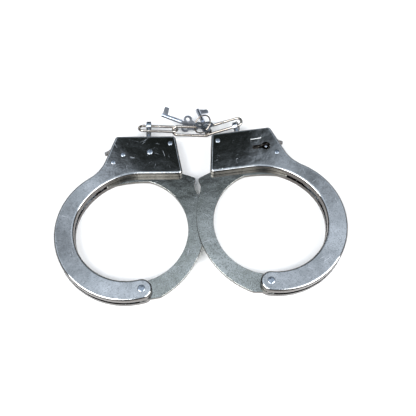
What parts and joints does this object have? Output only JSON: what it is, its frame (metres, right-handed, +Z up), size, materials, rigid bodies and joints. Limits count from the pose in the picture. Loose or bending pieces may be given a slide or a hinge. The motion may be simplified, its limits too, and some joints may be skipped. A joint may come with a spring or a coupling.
{
  "type": "handcuffs",
  "caption": "Pair of ratcheting handcuffs with swinging toothed strands, joined by a swivelled wire-link chain that carries barrel keys on a ring.",
  "frame": {"origin": "centre of the footprint of the whole set, on the surface that it lies on", "axes": "+X from the left cuff to the right cuff, +Y from the wrist openings towards the chain, +Z up out of the surface"},
  "size_m": [0.1522, 0.116, 0.0127],
  "materials": {
    "plated_cheek": "polished nickel plate with fine scratches",
    "plated_strand": "nickel plate, finely mottled",
    "bright_rivet": "bright tumbled",
    "lock_steel": "plain stamped steel",
    "plated_wire": "nickel-plated wire",
    "key_zinc": "bluish zinc, tumbled"
  },
  "bodies": {
    "left_cuff": {"left_front_cheek": "plated_cheek", "left_rear_cheek": "plated_cheek", "left_pivot_rivet": "bright_rivet", "left_pivot_washer_front": "bright_rivet", "left_pivot_washer_rear": "bright_rivet", "left_corner_rivet": "bright_rivet", "left_corner_sleeve": "bright_rivet", "left_side_rivet": "bright_rivet", "left_side_sleeve": "bright_rivet", "left_key_post": "bright_rivet", "left_pawl_pin": "bright_rivet", "left_pawl_spring": "lock_steel", "left_swivel_washer": "lock_steel"},
    "left_strand": {"left_strand": "plated_strand"},
    "left_pawl": {"left_pawl": "lock_steel"},
    "left_swivel": {"left_swivel": "bright_rivet"},
    "right_cuff": {"right_front_cheek": "plated_cheek", "right_rear_cheek": "plated_cheek", "right_pivot_rivet": "bright_rivet", "right_pivot_washer_front": "bright_rivet", "right_pivot_washer_rear": "bright_rivet", "right_corner_rivet": "bright_rivet", "right_corner_sleeve": "bright_rivet", "right_side_rivet": "bright_rivet", "right_side_sleeve": "bright_rivet", "right_key_post": "bright_rivet", "right_pawl_pin": "bright_rivet", "right_pawl_spring": "lock_steel", "right_swivel_washer": "lock_steel"},
    "right_strand": {"right_strand": "plated_strand"},
    "right_pawl": {"right_pawl": "lock_steel"},
    "right_swivel": {"right_swivel": "bright_rivet"},
    "link_left": {"link_left": "plated_wire"},
    "link_middle": {"link_middle": "plated_wire"},
    "link_right": {"link_right": "plated_wire"},
    "key_ring": {"key_ring": "plated_wire"},
    "key_one": {"key_one": "key_zinc"},
    "key_two": {"key_two": "key_zinc"}
  },
  "joints": [
    {"name": "left_strand_hinge", "type": "hinge", "parent": "left_cuff", "child": "left_strand", "pos_m": [-0.03015, -0.05163, 0.0054], "axis": [0, 0, 1], "range_deg": [0, 240]},
    {"name": "left_pawl_hinge", "type": "hinge", "parent": "left_cuff", "child": "left_pawl", "pos_m": [-0.02755, 0.02577, 0.0054], "axis": [0, 0, -1], "range_deg": [0, 7], "stiffness_Nm_per_rad": 0.05, "springref_deg": -11.46, "deforming": ["left_pawl_spring"]},
    {"name": "left_swivel_turn", "type": "hinge", "parent": "left_cuff", "child": "left_swivel", "pos_m": [-0.02874, 0.03567, 0.0054], "axis": [0, -1, 0], "range_deg": [0, 90]},
    {"name": "link_left_hinge", "type": "hinge", "parent": "left_swivel", "child": "link_left", "pos_m": [-0.02874, 0.04467, 0.0054], "axis": [-0.0491, -0.4838, -0.8738], "range_deg": [0, 13]},
    {"name": "link_middle_hinge", "type": "hinge", "parent": "link_left", "child": "link_middle", "pos_m": [-0.0131, 0.04205, 0.00596], "axis": [0.0013, -0.8749, 0.4843], "range_deg": [0, 40]},
    {"name": "link_right_hinge", "type": "hinge", "parent": "link_middle", "child": "link_right", "pos_m": [0.00539, 0.04223, 0.00279], "axis": [0.1037, 0.5406, 0.8348], "range_deg": [0, 45]},
    {"name": "right_swivel_hinge", "type": "hinge", "parent": "link_right", "child": "right_swivel", "pos_m": [0.01954, 0.04312, 0.007], "axis": [-0.9542, -0.1803, -0.2385], "range_deg": [0, 33]},
    {"name": "right_cuff_turn", "type": "hinge", "parent": "right_swivel", "child": "right_cuff", "pos_m": [0.02034, 0.03777, 0.00698], "axis": [-0.1495, 0.9888, 0.0046], "range_deg": [0, 120]},
    {"name": "right_strand_hinge", "type": "hinge", "parent": "right_cuff", "child": "right_strand", "pos_m": [0.03477, -0.04834, 0.00654], "axis": [-0.0305, 0, -0.9995], "range_deg": [0, 240]},
    {"name": "right_pawl_hinge", "type": "hinge", "parent": "right_cuff", "child": "right_pawl", "pos_m": [0.02064, 0.0278, 0.00697], "axis": [0.0305, 0, 0.9995], "range_deg": [0, 7], "stiffness_Nm_per_rad": 0.05, "springref_deg": -11.46, "deforming": ["right_pawl_spring"]},
    {"name": "key_ring_hinge", "type": "hinge", "parent": "link_middle", "child": "key_ring", "pos_m": [-0.00117, 0.04334, 0.00598], "axis": [0.9879, 0.0414, -0.1495], "range_deg": [0, 50]},
    {"name": "key_one_hinge", "type": "hinge", "parent": "key_ring", "child": "key_one", "pos_m": [-0.00334, 0.0446, 0.00445], "axis": [0.1855, 0.7753, -0.6037], "range_deg": [-45, 40]},
    {"name": "key_two_hinge", "type": "hinge", "parent": "key_ring", "child": "key_two", "pos_m": [0.00316, 0.03996, 0.00906], "axis": [-0.1223, -0.4302, -0.8944], "range_deg": [0, 36]}
  ]
}
